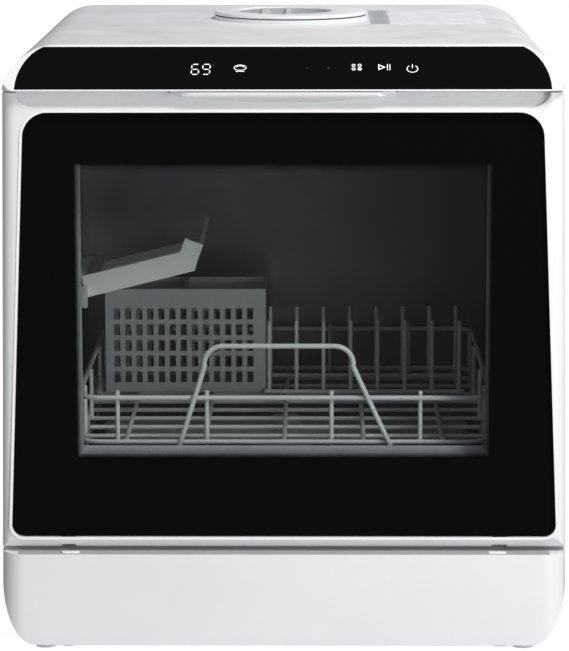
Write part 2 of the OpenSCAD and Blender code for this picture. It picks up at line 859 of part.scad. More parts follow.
module filter_cup() {
    top = tub_floor + 5;
    slots = 12;
    color("lightgray") difference() {
        union() {
            rod_z(sump_base + skin + 2, top, sump_x, sump_y, filter_r);
            rod_z(tub_floor + 1.8, top - 0.5, sump_x, sump_y, filter_r + 5);
        }
        difference() {
            rod_z(sump_base + skin + 4, top + 1, sump_x, sump_y, filter_r - 2);
            bar(sump_x, 3, sump_y - filter_r, sump_y + filter_r, top - 12, top);
        }
        for (i = [0 : slots - 1]) translate([sump_x, sump_y, 0]) rotate([0, 0, (i + 0.5) * 360 / slots])
            block([filter_r - 5, -3, sump_base + 14], [filter_r + 5, 3, tub_floor - 10]);
    }
}

pump_y = 24;
pump_z = 57;
volute_r = 37;
motor_r = 29;
volute_x0 = -6;
volute_x1 = 28;
wash_wheel_r = 30;
shaft_r = 3;
leg_w = 8;

module wash_pump() {
    floor_z = tray_floor + seam;
    color("dimgray") union() {
        difference() {
            union() {
                rod_x(volute_x0, volute_x1, pump_y, pump_z, volute_r);
                rod_x(volute_x1 - eps, volute_x1 + 14, pump_y, pump_z, 13);
            }
            rod_x(volute_x0 + skin, volute_x1 - skin, pump_y, pump_z, volute_r - skin);
            rod_x(volute_x1 - 5, volute_x1 + 20, pump_y, pump_z, 10.5);
            rod_z(pump_z, pump_z + volute_r + 5, (volute_x0 + volute_x1) / 2, pump_y, 8);
        }
        rod_x(volute_x0 - 64, volute_x0 + eps, pump_y, pump_z, motor_r);
        rod_x(volute_x0 - 1, volute_x1 - 8, pump_y, pump_z, shaft_r);
        for (x = [volute_x0 - 58, volute_x0 - 12])
            bar(x, leg_w, pump_y - 16, pump_y + 16, floor_z, pump_z - 20);
        bar((volute_x0 + volute_x1) / 2, leg_w, pump_y - 16, pump_y + 16, floor_z, pump_z - volute_r + 5);
    }
}

// A wheel of straight vanes on a back plate, its bore along X
module vane_wheel(r, width, bore, vanes) {
    difference() {
        union() {
            rod_x(0, 2, 0, 0, r);
            rod_x(0, width, 0, 0, bore + 4);
            for (i = [0 : vanes - 1]) rotate([i * 360 / vanes, 0, 0])
                block([1, -1, bore + 2], [width, 1, r]);
        }
        rod_x(-1, width + 1, 0, 0, bore);
    }
}

module wash_impeller() {
    color("white") translate([volute_x0 + skin + 2, pump_y, pump_z])
        vane_wheel(wash_wheel_r, 20, shaft_r + run_gap, 6);
}

drain_x = sump_x + sump_r + 6;
drain_y = sump_y;
drain_z = 46;
drain_volute_r = 20;

module drain_pump() {
    floor_z = tray_floor + seam;
    color("dimgray") union() {
        difference() {
            rod_x(drain_x, drain_x + 18, drain_y, drain_z, drain_volute_r);
            rod_x(drain_x + skin, drain_x + 18 - skin, drain_y, drain_z, drain_volute_r - skin);
            rod_x(drain_x - 1, drain_x + skin + 1, drain_y, drain_z, 7);
        }
        rod_x(drain_x + 18 - eps, drain_x + 48, drain_y, drain_z, 16);
        rod_x(drain_x + 5, drain_x + 18, drain_y, drain_z, 2);
        for (x = [drain_x + 26, drain_x + 40]) bar(x, 5, drain_y - 10, drain_y + 10, floor_z, drain_z - 10);
    }
}

module drain_impeller() {
    color("white") translate([drain_x + skin + 1.6, drain_y, drain_z])
        vane_wheel(14, 9, 2 + run_gap, 4);
}

manifold_z0 = pump_z + volute_r + seam;
manifold_z1 = tub_floor - tub_t - 4;

module supply_manifold() {
    x1 = (volute_x0 + volute_x1) / 2 + 11;
    color("gray") difference() {
        block([-14, mid_y - 14, manifold_z0], [x1, pump_y + 12, manifold_z1]);
        block([-14 + skin, mid_y - 14 + skin, manifold_z0 + skin],
            [x1 - skin, pump_y + 12 - skin, manifold_z1 - skin]);
        rod_z(manifold_z0 - 1, manifold_z0 + 5, (volute_x0 + volute_x1) / 2, pump_y, 8);
        rod_z(manifold_z1 - 5, manifold_z1 + 5, 0, mid_y, arm_bearing_r + fit_gap);
    }
}

arm_z0 = tub_floor + 6.5;
arm_t = 11;
hub_top = arm_z0 + arm_t + 5;

module spray_hub() {
    color("lightgray") difference() {
        union() {
            rod_z(manifold_z1 - skin, hub_top, 0, mid_y, arm_bearing_r);
            rod_z(tub_floor + seam, tub_floor + 2.5, 0, mid_y, 20);
            rod_z(tub_floor + 2, arm_z0 - seam, 0, mid_y, 11);
        }
        rod_z(manifold_z1 - 5, hub_top - 2, 0, mid_y, arm_bearing_r - 2.5);
    }
}

module spray_nut() {
    color("gray") difference() {
        rod_z(arm_z0 + arm_t + seam, hub_top, 0, mid_y, 13);
        rod_z(arm_z0, hub_top + 1, 0, mid_y, arm_bearing_r + fit_gap);
    }
}

module spray_arm() {
    tip = 20;
    root = 34;
    color("lightgray") translate([0, mid_y, arm_z0]) difference() {
        union() {
            linear_extrude(arm_t) polygon(concat(
                arc(arm_len / 2 - tip / 2, 0, tip / 2, -85, 85, 6),
                arc(0, 0, root / 2, 60, 120, 4),
                arc(-arm_len / 2 + tip / 2, 0, tip / 2, 95, 265, 6),
                arc(0, 0, root / 2, 240, 300, 4)
            ));
            cylinder(r = root / 2, h = arm_t);
        }
        translate([0, 0, -1]) cylinder(r = arm_bearing_r + run_gap, h = arm_t + 2);
        for (x = [50 : 26 : arm_len / 2 - 12], s = [-1, 1])
            translate([s * x - 3, -1, arm_t - 1.5]) cube([6, 2, 3]);
    }
}

module water_heater() {
    x = -118;
    r = 19;
    floor_z = tray_floor + seam;
    color("silver") union() {
        rod_y(-75, 75, x, pump_z, r);
        rod_y(-95, -75 + eps, x, pump_z, 9);
        rod_y(75 - eps, 95, x, pump_z, 9);
        for (y = [-55, 55]) bar(x, 24, y - 3, y + 3, floor_z, pump_z - r + 5);
    }
}

conn_x = well_x - 20;
spigot_x = well_x + 22;
conn_z = (well_z0 + well_z1) / 2;
well_back = back_face - well_depth;

module hose_well() {
    color("gray") difference() {
        union() {
            block([well_x - well_w / 2, well_back, well_z0], [well_x + well_w / 2, back_face - 0.2, well_z1]);
            block([well_x - well_w / 2 - 5, back_face - back_t - 2.3, well_z0 - 3.5],
                [well_x + well_w / 2 + 5, back_face - back_t - seam, well_z1 + 5]);
        }
        block([well_x - well_w / 2 + 2, well_back + 2, well_z0 + 2],
            [well_x + well_w / 2 - 2, back_y, well_z1 - 2]);
        rod_y(well_back - 1, well_back + 5, conn_x, conn_z, inlet_r - 2 + fit_gap);
        rod_y(well_back - 1, well_back + 5, spigot_x, conn_z, drain_r - 2 + fit_gap);
    }
}

// Inlet valve with its threaded connector, and the drain spigot beside it
module inlet_valve() {
    color("white") union() {
        difference() {
            union() {
                rod_y(well_back + 2 + seam, back_face - 2, conn_x, conn_z, inlet_r);
                rod_y(well_back - 14, back_face - 4, conn_x, conn_z, inlet_r - 2);
                bar(conn_x, 30, well_back - 30, well_back - 8, conn_z - 15, conn_z + 22);
                bar(conn_x, 22, well_back - 28, well_back - 10, tray_floor + seam, conn_z - 14);
            }
            rod_y(well_back - 10, back_y, conn_x, conn_z, inlet_r - 4.6);
        }
        difference() {
            union() {
                rod_y(well_back + 2 + seam, back_face - 1, spigot_x, conn_z, drain_r);
                rod_y(well_back - 16, back_face - 4, spigot_x, conn_z, drain_r - 2);
                bar(spigot_x, 18, well_back - 16, well_back - seam, tray_floor + seam, conn_z + 9);
            }
            rod_y(well_back - 10, back_y, spigot_x, conn_z, drain_r - 4);
        }
    }
}

module cord_gland() {
    color("black") difference() {
        union() {
            rod_y(back_face, back_y, gland_x, gland_z, gland_body_r + 3);
            rod_y(back_face - 10, back_face + eps, gland_x, gland_z, gland_body_r);
            rod_y(back_face - 10, back_face - back_t - seam, gland_x, gland_z, gland_body_r + 3);
        }
        rod_y(back_face - 20, back_y + 1, gland_x, gland_z, gland_r);
    }
}

tank_y0 = tub_back + tub_t + 5;
tank_y1 = back_face - back_t - 3;
tank_half = half_w - 25;
tank_z0 = tub_floor;
tank_top = tub_roof + tub_t - 2;
mouth_half = 30;
tank_leg = 20;

module water_tank() {
    color([0.8, 0.85, 0.9]) difference() {
        union() {
            block([-tank_half, tank_y0, tank_z0], [tank_half, tank_y1, tank_top]);
            both_sides() block([tank_half - 14, tank_y0, tray_floor + seam], [tank_half - 2, tank_y0 + tank_leg, tank_z0 + 5]);
        }
        block([-tank_half + 2, tank_y0 + 2, tank_z0 + 2], [tank_half - 2, tank_y1 - 2, tank_top - 2]);
        block([-mouth_half, tank_y0 + 8, tank_top - 5], [mouth_half, tank_y1 - 8, tank_top + 5]);
    }
}

funnel_z1 = tub_roof + 34;

module fill_funnel() {
    color("lightgray") difference() {
        bar(filler_x, 2 * hopper_half, filler_y - hopper_half, tank_y1, roof_top + 1, funnel_z1);
        bar(filler_x, 2 * hopper_half - 4, filler_y - hopper_half + 2, tank_y1 - 2, roof_top + 3, funnel_z1 - 2);
        rod_z(funnel_z1 - 5, funnel_z1 + 5, filler_x, filler_y, neck_r);
        block([-mouth_half, tank_y0 + 8, roof_top], [mouth_half, tank_y1 - 8, roof_top + 5]);
    }
}

cap_h = 3.2;
collar_h = 2.6;
cap_seam = 0.4;
cap_z = body_h + collar_h + cap_seam;
cap_top = cap_z + cap_h;
plug_depth = 14;
plug_gap = 2;

module filler_collar() {
    color("white") difference() {
        union() {
            rod_z(body_h, body_h + collar_h, filler_x, filler_y, collar_r);
            rod_z(funnel_z1 + seam, body_h + eps, filler_x, filler_y, neck_r + skin);
        }
        rod_z(funnel_z1 - 1, body_h + 10, filler_x, filler_y, neck_r);
    }
}

module filler_cap() {
    plug_r = neck_r - plug_gap;
    color("white") translate([filler_x, 0, 0]) union() {
        difference() {
            union() {
                rod_z(cap_z, cap_top, 0, filler_y, collar_r - 0.6);
                rod_z(cap_z - plug_depth, cap_z + eps, 0, filler_y, plug_r);
            }
            rod_z(cap_z - plug_depth + 2, cap_top + 1, recess_x, filler_y, recess_r);
        }
        for (x = [-20.6, -2]) intersection() {
            rod_z(cap_z - plug_depth + 1, cap_top - 0.2, recess_x, filler_y, recess_r + 1);
            bar(x, x < -10 ? 5.8 : 4, filler_y - 60, filler_y + 60, cap_z - plug_depth + 1, cap_top - 0.2);
        }
    }
}

module cap_ring() {
    plug_r = neck_r - plug_gap;
    color("gray") translate([filler_x, filler_y, cap_z - 8]) rotate_extrude() polygon([
        [plug_r + 0.1, 0], [plug_r + 1.5, 0.5], [plug_r + 1.5, 2.5], [plug_r + 0.1, 3],
    ]);
}

vent_mid = filler_y + 6.5;
vent_y0 = vent_mid - vent_len / 2;
vent_y1 = vent_mid + vent_len / 2;

module vent_grille() {
    color("gray") difference() {
        bar(vent_x, vent_w, vent_y0, vent_y1, body_h - 3, body_h);
        for (y = [vent_y0 + 5 : 6 : vent_y1 - 7]) bar(vent_x, vent_w - 4, y, y + 2.5, body_h - 5, body_h + 1);
    }
}

duct_z0 = funnel_z1;

module vent_duct() {
    x0 = vent_x - vent_w / 2 - 3;
    x1 = vent_x + vent_w / 2 + 3;
    color("dimgray") difference() {
        block([x0, vent_y0 - 3, duct_z0], [x1 + 22, vent_y1 + 3, body_h - sheet - seam]);
        block([x0 + 2, vent_y0 - 1, duct_z0 + 2], [x1 + 20, vent_y1 + 1, body_h - 4.5]);
        block([x0 + 2, vent_y0 - 1, duct_z0 + 2], [x1 - 2, vent_y1 + 1, body_h]);
        rod_z(duct_z0 - 1, duct_z0 + 5, fan_x, fan_y, 14);
    }
}

plate_w = 76;

module cover_plate() {
    x0 = vent_x + vent_w / 2 + 1.5;
    color("white") block([x0, filler_y - 55, body_h], [x0 + plate_w, vent_y1, body_h + 0.5]);
}

fan_x = vent_x + 22;
fan_y = filler_y + 6;
fan_r = 38;
fan_w = 18;

module fan_housing() {
    color("black") union() {
        difference() {
            rod_z(roof_top, duct_z0 - seam, fan_x, fan_y, fan_r);
            rod_z(roof_top + 2, duct_z0 - 2.3, fan_x, fan_y, fan_r - 2);
            rod_z(duct_z0 - 5, duct_z0 + 1, fan_x, fan_y, 14);
            rod_z(roof_top - 1, roof_top + 1, fan_x + 24, fan_y, 6);
        }
        rod_z(roof_top + 1, roof_top + 22, fan_x, fan_y, shaft_r);
    }
}

module fan_wheel() {
    color("gray") translate([fan_x, fan_y, roof_top + 4]) rotate([0, -90, 0])
        vane_wheel(fan_r - 6, fan_w, shaft_r + run_gap, 10);
}

power_x0 = -60;
power_x1 = 70;
power_y1 = back_y - 35;
power_y0 = power_y1 - 70;
power_t = 2;

module power_board() {
    floor_z = tray_floor + seam;
    color("seagreen") union() {
        block([power_x0, power_y0, floor_z + 8], [power_x1, power_y1, floor_z + 8 + power_t]);
        block([power_x0 + 10, power_y0 + 8, floor_z + 9], [-5, power_y1 - 20, floor_z + 44]);
        block([10, power_y0 + 10, floor_z + 9], [power_x1 - 10, power_y1 - 10, floor_z + 30]);
        for (x = [power_x0 + 6, power_x1 - 6], y = [power_y0 + 6, power_y1 - 6])
            rod_z(floor_z, floor_z + 9, x, y, 3.5);
    }
}

float_x = 150;
float_y = 60;
float_travel = 8;

module leak_float() {
    color("orange") difference() {
        union() {
            rod_z(tray_floor + 1, tray_floor + 22, float_x, float_y, 18);
            rod_z(tray_floor + 10, tray_floor + 34, float_x, float_y, 7);
        }
        rod_z(0, tray_floor + 60, float_x, float_y, shaft_r + 0.1);
    }
}

module float_switch() {
    color("black") union() {
        rod_z(tray_floor + seam, tray_floor + 60, float_x, float_y, shaft_r);
        block([float_x - 12, float_y - 8, tray_floor + 34 + float_travel + 1],
            [float_x + 12, float_y + 8, tray_floor + 60]);
    }
}

// ---------------------------------------------------------------- rack

rack_half = tub_half - rack_side_gap;
rack_y0 = tub_front + 17.5;
rack_y1 = tub_back - 12;
rail_z = tub_floor + rack_rail_z;
top_rail_z = rail_z + rack_depth;

// Coated wire bent into a rounded rectangle
module wire_loop(z) {
    r = rack_corner_r;
    both_sides() {
        rod_y(rack_y0 + r, rack_y1 - r, rack_half, z, wire_r);
        for (y = [rack_y0 + r, rack_y1 - r], s = [y < 0 ? -90 : 0])
            translate([rack_half - r, y, z]) rotate([0, 0, s]) rotate_extrude(angle = 90)
                translate([r, 0]) circle(r = wire_r);
    }
    for (y = [rack_y0, rack_y1]) rod_x(-rack_half + r, rack_half - r, y, z, wire_r);
}

front_posts = [-126, -58.5, 35.6, 102.6];
cross_wires = 8;
post_wires = [1, 3, 6, 8];

// Place of a cross wire, counted from the front
function wire_y(i) = rack_y0 + (rack_y1 - rack_y0) * i / (cross_wires + 1);

module dish_rack() {
    thin = wire_r - 0.2;
    color("lightgray") union() {
        wire_loop(rail_z);
        wire_loop(top_rail_z);
        for (x = front_posts, y = [rack_y0 + 2 * thin - 0.4, rack_y1 - 2 * thin + 0.4])
            rod_z(rail_z - 3, top_rail_z + 5, x, y, thin);
        for (i = post_wires, s = [-1, 1])
            rod_z(rail_z - 3, top_rail_z + 3, s * (rack_half - 2 * thin + 0.4), wire_y(i), thin);
        for (i = [1 : cross_wires])
            rod_x(-rack_half - 0.5, rack_half + 0.5, wire_y(i), rail_z - 1.5 * thin, thin);
        for (x = [-120 : 60 : 120]) rod_y(rack_y0 - 0.5, rack_y1 + 0.5, x, rail_z - 0.4, thin);
    }
}

handle_feet = [-79, 80];
handle_tops = [-60, 52];
handle_bend = 14;

// One leg of the handle, rising from its foot and bending in to the crossbar
module handle_leg(foot_x, top_x, y, z1) {
    side = sign(top_x);
    rise = z1 - handle_bend - rail_z;
    run = foot_x - top_x;
    tilt = atan(run / rise);
    translate([foot_x, y, rail_z - 2]) rotate([0, -tilt, 0])
        cylinder(r = wire_r, h = (rise + 2) / cos(tilt));
    translate([top_x, y, z1 - handle_bend]) sphere(r = wire_r + 0.05);
    translate([top_x - side * handle_bend, y, z1 - handle_bend]) rotate([90, side > 0 ? 0 : -90, 0])
        rotate_extrude(angle = 90) translate([handle_bend, 0]) circle(r = wire_r);
}

module rack_handle() {
    z1 = rail_z + handle_rise;
    y = rack_y0 - 2 * wire_r - fit_gap;
    color("silver") union() {
        handle_leg(handle_feet[0], handle_tops[0], y, z1);
        handle_leg(handle_feet[1], handle_tops[1], y, z1);
        rod_x(handle_tops[0] + handle_bend, handle_tops[1] - handle_bend, y, z1, wire_r);
    }
}

tine_ys = [22, 88];
tine_x0 = -14;

module plate_tines() {
    z = rail_z + wire_r + 1.6;
    count = floor((rack_half - 8 - tine_x0) / tine_pitch);
    color("silver") union() {
        for (y = tine_ys) {
            rod_x(tine_x0 - 4, tine_x0 + count * tine_pitch + 4, y, z, wire_r);
            for (i = [0 : count]) rod_z(z, z + tine_h, tine_x0 + i * tine_pitch, y + 1.5, wire_r - 0.3);
        }
        for (x = [tine_x0, tine_x0 + count * tine_pitch])
            rod_y(tine_ys[0] - 1, tine_ys[1] + 1, x, z, wire_r - 0.1);
    }
}

glide_len = (rack_y1 - rack_y0) / (cross_wires + 1) - 2 * wire_r - 2 * seam;

module rack_glides() {
    z0 = ledge_z + ledge_t + seam;
    color("white") for (s = [-1, 1], y = [wire_y(1.5), wire_y(7.5)]) difference() {
        bar(s * rack_half, 9, y - glide_len / 2, y + glide_len / 2, z0, rail_z + wire_r + 2);
        rod_y(y - glide_len, y + glide_len, s * rack_half, rail_z, wire_r + fit_gap);
    }
}

basket_x1 = -17;
basket_y0 = 26;
basket_t = 2;

module cutlery_basket() {
    z0 = rail_z + wire_r + seam;
    x0 = basket_x1 - basket_w;
    y1 = basket_y0 + basket_d;
    mid = (x0 + basket_x1) / 2;
    color("gray") difference() {
        block([x0, basket_y0, z0], [basket_x1, y1, z0 + basket_h]);
        for (s = [-1, 1]) translate([mid + s * basket_w / 4, 0, 0])
            bar(0, basket_w / 2 - 1.5 * basket_t, basket_y0 + basket_t, y1 - basket_t,
                z0 + basket_t, z0 + basket_h + 1);
        for (x = [x0 + 7 : 9 : basket_x1 - 10], z = [z0 + 8 : 13 : z0 + basket_h - 14])
            bar(x + 2.5, 5, basket_y0 - 1, y1 + 1, z, z + 9);
    }
}

shelf_x = -tub_half + shelf_wall_gap;
shelf_z = 262;
shelf_y0 = rack_y0 + 8;
shelf_y1 = shelf_y0 + shelf_d;
shelf_pin_r = 2.5;
shelf_lip = 14.5;
shelf_bend = 56;
shelf_end = 20;

module cup_shelf() {
    slat = 4;
    color("lightgray") translate([shelf_x, 0, shelf_z]) rotate([0, -shelf_tilt, 0]) union() {
        difference() {
            union() {
                block([0, shelf_y0, -2], [shelf_len, shelf_y1, 2]);
                block([4, shelf_y0, -2], [shelf_len, shelf_y0 + 3, shelf_lip]);
                translate([shelf_len - 2, 0, 0]) rotate([0, -shelf_bend, 0]) union() {
                    block([0, shelf_y0, -2], [shelf_end, shelf_y1, 1]);
                    block([0, shelf_y0, -2], [shelf_end, shelf_y0 + 3, shelf_lip - 2]);
                }
                rod_y(shelf_y0, shelf_y1, 0, 0, 4.5);
            }
            for (y = [shelf_y0 + 8 : 12 : shelf_y1 - 12])
                block([9, y, -5], [shelf_len - 8, y + 8, 5]);
            rod_y(shelf_y0 - 1, shelf_y0 + 12, 0, 0, shelf_pin_r + run_gap);
            rod_y(shelf_y1 - 12, shelf_y1 + 1, 0, 0, shelf_pin_r + run_gap);
        }
    }
}

module shelf_bracket() {
    color("lightgray") for (s = [0, 1]) {
        y0 = s == 0 ? shelf_y0 - seam - 6 : shelf_y1 + seam;
        block([-tub_half + 0.2, y0, shelf_z - 8], [shelf_x + 5, y0 + 6, shelf_z + 8]);
        rod_y(s == 0 ? y0 + 5 : shelf_y1 - 10, s == 0 ? shelf_y0 + 10 : y0 + 1, shelf_x, shelf_z, shelf_pin_r);
    }
}

base_tray();
outer_wrap();
back_panel();
kick_panel();
control_fascia();
control_panel();
control_board();
front_frame();
tub();
door_seal();
catch_clip();
door_sensor();
hinge_brackets();
hinge_pins();
sump();
filter_plate();
filter_cup();
wash_pump();
wash_impeller();
drain_pump();
drain_impeller();
supply_manifold();
water_heater();
inlet_valve();
hose_well();
cord_gland();
water_tank();
fill_funnel();
filler_collar();
filler_cap();
cap_ring();
vent_grille();
vent_duct();
cover_plate();
fan_housing();
fan_wheel();
power_board();
leak_float();
float_switch();
rubber_feet();
casing_screws();
shelf_bracket();
cup_shelf();
spray_hub();
spray_nut();
spray_arm();
door_frame();
door_glass();
inner_panel();
inner_glass();
handle_lip();
detergent_cup();
detergent_lid();
door_tongue();
hinge_dampers();
dish_rack();
rack_handle();
plate_tines();
rack_glides();
cutlery_basket();
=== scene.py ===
# Countertop dishwasher: its finishes, its glass print and its key icons, built around the packed
# CAD model. Sizes are written in millimetres and turned to metres where a mesh is made.

import json
import math

import bmesh
import bpy
from mathutils import Matrix, Vector
from mathutils.geometry import tessellate_polygon


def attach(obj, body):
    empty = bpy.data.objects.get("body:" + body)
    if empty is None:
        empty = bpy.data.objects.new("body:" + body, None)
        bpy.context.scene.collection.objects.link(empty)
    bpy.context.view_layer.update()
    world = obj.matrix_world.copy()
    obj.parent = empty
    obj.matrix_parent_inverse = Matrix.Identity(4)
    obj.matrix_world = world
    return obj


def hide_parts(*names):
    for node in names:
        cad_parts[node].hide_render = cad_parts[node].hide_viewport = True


MM = 0.001
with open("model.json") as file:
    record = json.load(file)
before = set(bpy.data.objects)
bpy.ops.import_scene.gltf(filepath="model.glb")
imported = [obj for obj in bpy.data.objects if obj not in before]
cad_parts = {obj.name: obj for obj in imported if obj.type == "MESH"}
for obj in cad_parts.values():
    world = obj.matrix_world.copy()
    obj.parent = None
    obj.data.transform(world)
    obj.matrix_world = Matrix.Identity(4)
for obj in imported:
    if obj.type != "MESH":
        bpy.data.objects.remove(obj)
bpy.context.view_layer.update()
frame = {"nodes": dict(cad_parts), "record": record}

# ---------------------------------------------------------------- sizes of the casing and the door

FRONT_Y = -215.0
FASCIA_Z = 423.6
SLOPE = math.atan2(30.4, 35.3)
SHARP_ANGLE = math.radians(35)
GLASS_FACE = 207.0  # from the machine's middle to the door glass's face, and to its back
GLASS_BACK = 203.0
WINDOW_HALF = 152.0
WINDOW_LOW = 152.0
WINDOW_HIGH = 370.0


# ---------------------------------------------------------------- materials

def linear(hex_colour):
    """An sRGB hex colour as the linear RGBA that Blender's sockets take."""
    channels = [int(hex_colour[i : i + 2], 16) / 255 for i in (1, 3, 5)]
    return (*[c / 12.92 if c <= 0.04045 else ((c + 0.055) / 1.055) ** 2.4 for c in channels], 1.0)


def add(tree, kind, sockets=None, **settings):
    """Adds a node. settings are its own fields; sockets are values or other nodes' outputs."""
    made = tree.nodes.new(kind)
    for name, value in settings.items():
        setattr(made, name, value)
    for name, value in (sockets or {}).items():
        if isinstance(value, bpy.types.NodeSocket):
            tree.links.new(value, made.inputs[name])
        else:
            made.inputs[name].default_value = value
    return made


def new_finish(name, **surface):
    """An empty material with one Principled surface. surface holds that surface's own values."""
    material = bpy.data.materials.new(name)
    material.use_nodes = True
    tree = material.node_tree
    tree.nodes.clear()
    shader = add(tree, "ShaderNodeBsdfPrincipled", {k.replace("_", " "): v for k, v in surface.items()})
    out = add(tree, "ShaderNodeOutputMaterial", {"Surface": shader.outputs[0]})
    place = add(tree, "ShaderNodeTexCoord").outputs["Object"]
    return material, tree, shader, out, place


def grain(tree, place, size_mm, stretch=(1, 1, 1), detail=3.0):
    """Noise whose features are size_mm across, or that times stretch along each axis."""
    scaled = add(tree, "ShaderNodeMapping", {"Vector": place, "Scale": [1 / s for s in stretch]})
    return add(tree, "ShaderNodeTexNoise", {
        "Vector": scaled.outputs[0], "Scale": 1 / (size_mm * MM), "Detail": detail, "Roughness": 0.55,
    }).outputs["Fac"]


def vary(tree, shader, pattern, low, high):
    """Makes the surface's roughness wander between low and high with a pattern."""
    spread = add(tree, "ShaderNodeMapRange", {
        "Value": pattern, "From Min": 0.3, "From Max": 0.7, "To Min": low, "To Max": high,
    })
    tree.links.new(spread.outputs[0], shader.inputs["Roughness"])


def tint(tree, shader, pattern, dark, light):
    """Makes the base colour wander between two sRGB colours with a pattern."""
    mixed = add(tree, "ShaderNodeMix", {0: pattern, 6: linear(dark), 7: linear(light)}, data_type="RGBA")
    tree.links.new(mixed.outputs[2], shader.inputs["Base Color"])


def relief(tree, shader, pattern, depth_mm, edge_mm=0.0):
    """Raises the surface by a pattern, depth_mm high, over edges rounded by edge_mm."""
    sockets = {"Height": pattern, "Distance": depth_mm * MM, "Strength": 1.0}
    if edge_mm:
        sockets["Normal"] = add(tree, "ShaderNodeBevel", {"Radius": edge_mm * MM}, samples=4).outputs[0]
    bump = add(tree, "ShaderNodeBump", sockets)
    tree.links.new(bump.outputs[0], shader.inputs["Normal"])


def moulded_abs():
    # White ABS from a spark-eroded mould: a fine satin grain that softens each highlight.
    # Real grain is 0.1 mm; it is drawn at 0.5 mm, so that it shows.
    m, tree, shader, out, place = new_finish("white_abs_moulded", Roughness=0.38, IOR=1.53)
    tint(tree, shader, grain(tree, place, 60), "#eceef0", "#f4f5f6")
    vary(tree, shader, grain(tree, place, 25), 0.34, 0.44)
    relief(tree, shader, grain(tree, place, 0.5, detail=1.0), 0.012, 0.5)
    return m


def glossy_abs():
    # White ABS from a polished mould: wetter looking than the grained walls. Its whiter base colour is
    # partly a painted highlight, so that the glass trim, cap grips and stop pads read as bright lines.
    m, tree, shader, out, place = new_finish("white_abs_polished_painted_highlight", Roughness=0.18, IOR=1.53)
    tint(tree, shader, grain(tree, place, 40), "#fbfbfc", "#fefefe")
    relief(tree, shader, grain(tree, place, 12, detail=1.0), 0.002, 0.3)
    return m


def painted_steel():
    # Sheet steel with baked white powder coat: slight orange peel, 2 mm from crest to crest.
    m, tree, shader, out, place = new_finish("white_powder_coat", Roughness=0.32, IOR=1.5)
    tint(tree, shader, grain(tree, place, 80), "#eceeef", "#f3f4f5")
    vary(tree, shader, grain(tree, place, 40), 0.28, 0.38)
    relief(tree, shader, grain(tree, place, 2.0, detail=1.5), 0.012, 0.4)
    return m


def moulded_pp(name, dark, light, roughness):
    # Polypropylene, as moulded: waxy and slightly soft looking, with faint flow marks.
    m, tree, shader, out, place = new_finish(name, Roughness=roughness, IOR=1.49)
    tint(tree, shader, grain(tree, place, 35), dark, light)
    vary(tree, shader, grain(tree, place, 12), roughness - 0.05, roughness + 0.07)
    relief(tree, shader, grain(tree, place, 0.6, detail=1.0), 0.012, 0.35)
    return m


def panel_acrylic():
    # Black PMMA touch panel, polished: deep black under a mirror-like face.
    m, tree, shader, out, place = new_finish(
        "black_acrylic_polished", Base_Color=linear("#08090a"), IOR=1.49, Roughness=0.06)
    vary(tree, shader, grain(tree, place, 30), 0.05, 0.1)
    relief(tree, shader, grain(tree, place, 40, detail=1.0), 0.001, 0.25)
    return m


def clear_pane(name, tint_hex, shade_hex):
    # Tempered float glass: clear, with a faint grey cast. Shadow rays pass straight through,
    # so that what is behind it gets light.
    m, tree, shader, out, place = new_finish(
        name, Base_Color=linear(tint_hex), IOR=1.52, Roughness=0.0, Transmission_Weight=1.0)
    passing = add(tree, "ShaderNodeBsdfTransparent", {"Color": linear(shade_hex)})
    ray = add(tree, "ShaderNodeLightPath")
    either = add(tree, "ShaderNodeMath", {
        0: ray.outputs["Is Shadow Ray"], 1: ray.outputs["Is Diffuse Ray"]}, operation="MAXIMUM")
    mixed = add(tree, "ShaderNodeMixShader", {
        0: either.outputs[0], 1: shader.outputs[0], 2: passing.outputs[0]})
    tree.links.new(mixed.outputs[0], out.inputs["Surface"])
    return m


def ceramic_print():
    # Black ceramic frit, fused to the back of the glass: dense and a little speckled. With no air
    # between it and the glass it has no shine of its own.
    m, tree, shader, out, place = new_finish(
        "black_ceramic_frit", Roughness=0.6, IOR=1.5, Specular_IOR_Level=0.0)
    tint(tree, shader, grain(tree, place, 0.8), "#060608", "#0b0b0d")
    return m


def brushed_steel():
    # Stainless steel, brushed from side to side. Real lines are 0.1 mm apart; they are drawn 0.6 mm
    # apart and 36 mm long, so that they show.
    # Its base colour is darker than real stainless: painted shade, for the dimly lit inside of the tub.
    m, tree, shader, out, place = new_finish(
        "stainless_brushed_shade_darkened", Base_Color=linear("#8c8e90"), Metallic=1.0, Roughness=0.2)
    lines = grain(tree, place, 0.6, stretch=(60, 60, 1), detail=2.0)
    vary(tree, shader, lines, 0.17, 0.24)
    relief(tree, shader, lines, 0.001)
    return m


def zinc_plate():
    # Zinc-plated steel: bright, blue-white, with a faint cloudy spangle.
    m, tree, shader, out, place = new_finish("zinc_plated_steel", Metallic=1.0, Roughness=0.3)
    tint(tree, shader, grain(tree, place, 3), "#a9adb0", "#c7c9c6")
    vary(tree, shader, grain(tree, place, 1.5), 0.22, 0.4)
    relief(tree, shader, grain(tree, place, 0.8), 0.004, 0.15)
    return m


def rubber(name, dark, light):
    # Soft moulded rubber: matt, with a fine tacky grain.
    m, tree, shader, out, place = new_finish(name, Roughness=0.78, IOR=1.52)
    tint(tree, shader, grain(tree, place, 6), dark, light)
    relief(tree, shader, grain(tree, place, 0.6), 0.03, 0.4)
    return m


def nylon_coat():
    # Light grey nylon, dipped over steel wire: smooth, a little thick, softly glossy.
    m, tree, shader, out, place = new_finish("light_grey_nylon_dipped", Roughness=0.36, IOR=1.53)
    tint(tree, shader, grain(tree, place, 10), "#dcdedf", "#e6e8e9")
    relief(tree, shader, grain(tree, place, 1.5, detail=1.0), 0.02)
    return m


